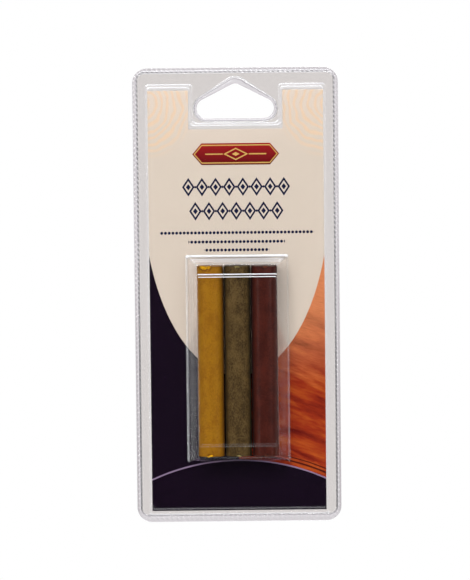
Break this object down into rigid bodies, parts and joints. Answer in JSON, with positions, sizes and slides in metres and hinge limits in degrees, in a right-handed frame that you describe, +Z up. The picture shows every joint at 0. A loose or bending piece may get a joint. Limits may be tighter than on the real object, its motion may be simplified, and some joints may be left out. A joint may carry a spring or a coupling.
{
  "type": "wax stick retail pack",
  "caption": "Sealed clear hanging pack with a printed card and a raised bubble that holds square wax furniture repair sticks side by side.",
  "frame": {"origin": "centre of the arc at the top of the hang hole, where a peg carries the pack, on the plane where the two clear sheets meet", "axes": "+Z up along the hanging pack, +X to the right seen from the front, -Y out of the front through the bubble, +Y out of the flat back"},
  "size_m": [0.085, 0.0133, 0.1889],
  "materials": {
    "clear_front": "clear glossy formed PVC sheet",
    "clear_back": "clear glossy flat PVC sheet",
    "printed_card": "coated board printed in cream, navy, maroon and warm wood tones",
    "edge_weld": "fused and finely knurled clear plastic",
    "hole_weld": "fused clear plastic, rounded",
    "ochre_wax": "moulded wax, satin, slightly mottled",
    "olive_wax": "moulded wax, satin, mottled",
    "mahogany_wax": "moulded wax, satin"
  },
  "bodies": {
    "pack": {"front_shell": "clear_front", "back_shell": "clear_back", "card_insert": "printed_card", "perimeter_weld": "edge_weld", "hang_hole_weld": "hole_weld"},
    "ochre_stick": {"ochre_stick": "ochre_wax"},
    "olive_stick": {"olive_stick": "olive_wax"},
    "mahogany_stick": {"mahogany_stick": "mahogany_wax"}
  },
  "joints": [
    {"name": "ochre_slide", "type": "slide", "parent": "pack", "child": "ochre_stick", "axis": [0, 0, 1], "range_m": [0, 0.0006]},
    {"name": "olive_slide", "type": "slide", "parent": "pack", "child": "olive_stick", "axis": [0, 0, 1], "range_m": [0, 0.0006]},
    {"name": "mahogany_slide", "type": "slide", "parent": "pack", "child": "mahogany_stick", "axis": [0, 0, 1], "range_m": [0, 0.0006]}
  ]
}
